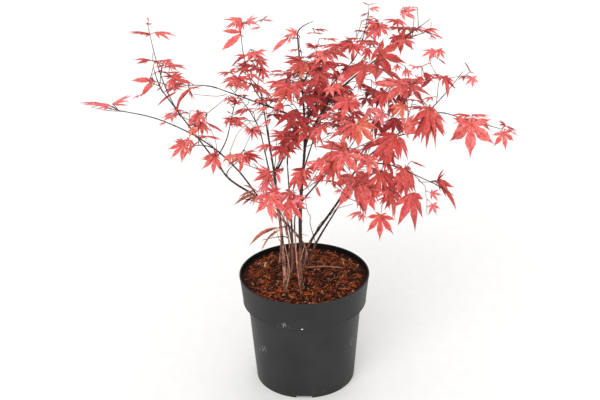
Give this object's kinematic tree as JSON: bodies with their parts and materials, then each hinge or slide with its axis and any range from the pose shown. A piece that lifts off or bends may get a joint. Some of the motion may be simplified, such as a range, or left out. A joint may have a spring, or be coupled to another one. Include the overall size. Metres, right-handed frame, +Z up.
{
  "type": "potted japanese maple",
  "caption": "Young multi-stemmed japanese maple in red spring leaf, growing in a round black nursery pot with bark mulch.",
  "frame": {"origin": "centre of the pot's flat underside, on the ground plane", "axes": "+Z up, +X to the right in the picture, along the crown's widest spread, +Y to the back"},
  "size_m": [0.7527, 0.4475, 0.6621],
  "materials": {
    "pot_plastic": "satin, lightly scuffed",
    "bark_mulch": "rough shredded bark over moist mix",
    "stem_bark": "smooth young bark, tan at the foot",
    "bough_bark": "smooth young bark, dark brown",
    "leaf_coral": "matte leaf, coral red",
    "leaf_red": "matte leaf, orange red",
    "leaf_deep_red": "matte leaf, deep red"
  },
  "bodies": {
    "root": {"pot": "pot_plastic", "potting_mix": "bark_mulch", "trunk_main": "stem_bark", "trunk_left": "stem_bark", "stem_leaning_left": "stem_bark", "stem_right_outer": "stem_bark", "stem_right_inner": "stem_bark", "stem_front_left": "stem_bark", "stem_front_pink": "stem_bark", "stem_middle_left": "stem_bark", "stem_red": "stem_bark", "stem_back_left": "stem_bark", "stem_back": "stem_bark", "bough_long_left": "bough_bark", "bough_left_riser": "bough_bark", "bough_high_left": "bough_bark", "bough_fork_left": "bough_bark", "bough_fork_right": "bough_bark", "bough_right_up": "bough_bark", "bough_right_steep": "bough_bark", "bough_middle_right": "bough_bark", "bough_front_right": "bough_bark", "bough_right_low": "bough_bark", "bough_far_right": "bough_bark", "fallen_cane": "stem_bark", "leaves_far_left": "leaf_coral", "leaves_left_spray": "leaf_coral", "leaves_left_hanging": "leaf_coral", "leaves_left_inner": "leaf_coral", "leaves_left_low": "leaf_coral", "leaves_upper_left": "leaf_coral", "leaves_left_shoot": "leaf_coral", "leaves_left_riser": "leaf_coral", "leaves_high_left": "leaf_coral", "leaves_front_low": "leaf_coral", "leaves_front_left": "leaf_coral", "leaves_low_hanging": "leaf_coral", "leaves_centre_left": "leaf_coral", "leaves_centre_dark": "leaf_deep_red", "leaves_centre_right_low": "leaf_red", "leaves_mid_left": "leaf_red", "leaves_top_left": "leaf_coral", "leaves_trunk_top": "leaf_red", "leaves_upper_centre": "leaf_red", "leaves_centre": "leaf_deep_red", "leaves_centre_back": "leaf_deep_red", "leaves_top_right": "leaf_red", "leaves_far_top_right": "leaf_red", "leaves_right_crown": "leaf_red", "leaves_right_shoots": "leaf_red", "leaves_right_middle": "leaf_red", "leaves_far_right": "leaf_red", "leaves_right_front": "leaf_red", "leaves_right_front_low": "leaf_red", "leaves_right_side": "leaf_red", "leaves_right_low_shoot": "leaf_red", "leaves_middle_right": "leaf_deep_red", "leaves_back_left": "leaf_deep_red", "leaves_back": "leaf_deep_red", "leaves_back_right": "leaf_deep_red"}
  },
  "joints": []
}
